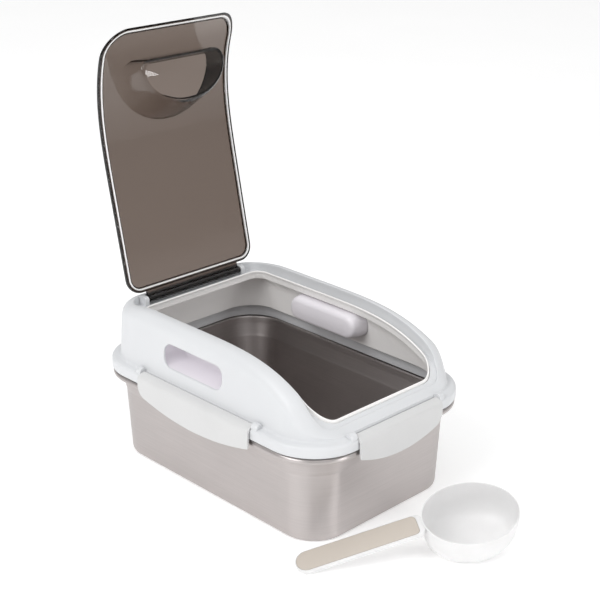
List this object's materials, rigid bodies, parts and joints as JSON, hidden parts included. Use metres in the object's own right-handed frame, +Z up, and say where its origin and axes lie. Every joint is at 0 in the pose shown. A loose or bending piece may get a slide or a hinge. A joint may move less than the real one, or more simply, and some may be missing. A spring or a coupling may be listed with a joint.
{
  "type": "pet food storage bin",
  "caption": "Rectangular steel food tub with a white clip-on housing, a smoked hinged lid with a finger pocket, side grips, bowed latches and a scoop beside it.",
  "frame": {"origin": "centre of the tub's flat base, on the floor", "axes": "+Z up, +Y towards the lid hinge at the rear, +X to the bin's own left-hand side seen from the front, so the low brow of the housing is at -Y"},
  "size_m": [0.3048, 0.5603, 0.5333],
  "materials": {
    "steel": "fine satin brush, brighter along the rolled rim",
    "pin_steel": "plain drawn wire",
    "seal": "matt silicone",
    "rim_seal": "matt rubber",
    "housing_plastic": "satin moulded",
    "liner_plastic": "satin moulded",
    "grip_plastic": "satin moulded",
    "latch_plastic": "satin moulded",
    "smoked_plastic": "clear smoked, polished",
    "scoop_plastic": "frosted clear, polished",
    "inlay_plastic": "soft matt"
  },
  "bodies": {
    "bin": {"steel_tub": "steel", "tub_seal": "rim_seal", "housing_shell": "housing_plastic", "inner_liner": "liner_plastic", "grip_cup_left": "grip_plastic", "grip_cup_right": "grip_plastic", "lid_hinge_pin": "pin_steel", "latch_pin_left": "pin_steel", "latch_pin_right": "pin_steel", "latch_pin_front": "pin_steel", "latch_pin_rear": "pin_steel"},
    "lid": {"lid_panel": "smoked_plastic", "lid_gasket": "seal"},
    "left_latch": {"latch_left": "latch_plastic"},
    "right_latch": {"latch_right": "latch_plastic"},
    "front_latch": {"latch_front": "latch_plastic"},
    "rear_latch": {"latch_rear": "latch_plastic"},
    "scoop": {"scoop_body": "scoop_plastic", "scoop_handle_inlay": "inlay_plastic"}
  },
  "joints": [
    {"name": "lid_hinge", "type": "hinge", "parent": "bin", "child": "lid", "pos_m": [0, 0.1597, 0.1963], "axis": [1, 0, 0], "range_deg": [0, 102]},
    {"name": "latch_left_hinge", "type": "hinge", "parent": "bin", "child": "left_latch", "pos_m": [-0.1325, -0.0015, 0.131], "axis": [0, 1, 0], "range_deg": [0, 115]},
    {"name": "latch_right_hinge", "type": "hinge", "parent": "bin", "child": "right_latch", "pos_m": [0.1325, 0.0015, 0.131], "axis": [0, -1, 0], "range_deg": [0, 115]},
    {"name": "latch_front_hinge", "type": "hinge", "parent": "bin", "child": "front_latch", "pos_m": [0, -0.1935, 0.131], "axis": [-1, 0, 0], "range_deg": [0, 115]},
    {"name": "latch_rear_hinge", "type": "hinge", "parent": "bin", "child": "rear_latch", "pos_m": [0, 0.1935, 0.131], "axis": [1, 0, 0], "range_deg": [0, 115]},
    {"name": "scoop_lift", "type": "slide", "parent": "bin", "child": "scoop", "axis": [0, 0, 1], "range_m": [0, 0.25]}
  ]
}
